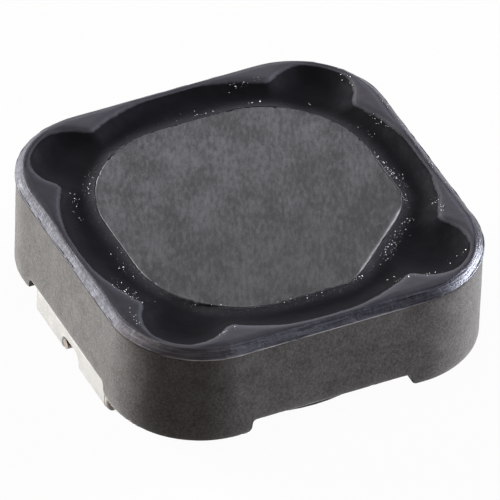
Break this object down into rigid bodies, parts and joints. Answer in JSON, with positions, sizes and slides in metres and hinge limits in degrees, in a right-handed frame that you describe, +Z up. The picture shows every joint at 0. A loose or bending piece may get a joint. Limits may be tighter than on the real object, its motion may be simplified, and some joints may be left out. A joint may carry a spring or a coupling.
{
  "type": "shielded power inductor",
  "caption": "Square shielded surface-mount power inductor: a wound ferrite drum glued into a square ferrite ring, on a moulded base with wrap-around tinned terminals.",
  "frame": {"origin": "middle of the footprint, in the plane of the solder pads' undersides", "axes": "+X from the left terminal to the right terminal, +Y across, +Z up through the top disc"},
  "size_m": [0.0124, 0.0124, 0.0045],
  "materials": {
    "shield_ferrite": "fired ferrite, matt with a fine speckle, slightly polished on the chamfer",
    "drum_ferrite": "ground ferrite, matt and mottled",
    "copper_wire": "enamelled copper, glossy",
    "base_moulding": "moulded liquid-crystal polymer, satin",
    "tinned_sheet": "matt tin plate",
    "black_epoxy": "cured epoxy, glossy, with dust",
    "clear_epoxy": "cured epoxy, grey-brown",
    "solder": "bright solder"
  },
  "bodies": {
    "root": {"shield_core": "shield_ferrite", "drum_core": "drum_ferrite", "winding": "copper_wire", "base": "base_moulding", "terminal_left": "tinned_sheet", "terminal_right": "tinned_sheet", "top_adhesive": "black_epoxy", "base_adhesive": "clear_epoxy", "solder_left": "solder", "solder_right": "solder", "seat_bead": "clear_epoxy"}
  },
  "joints": []
}
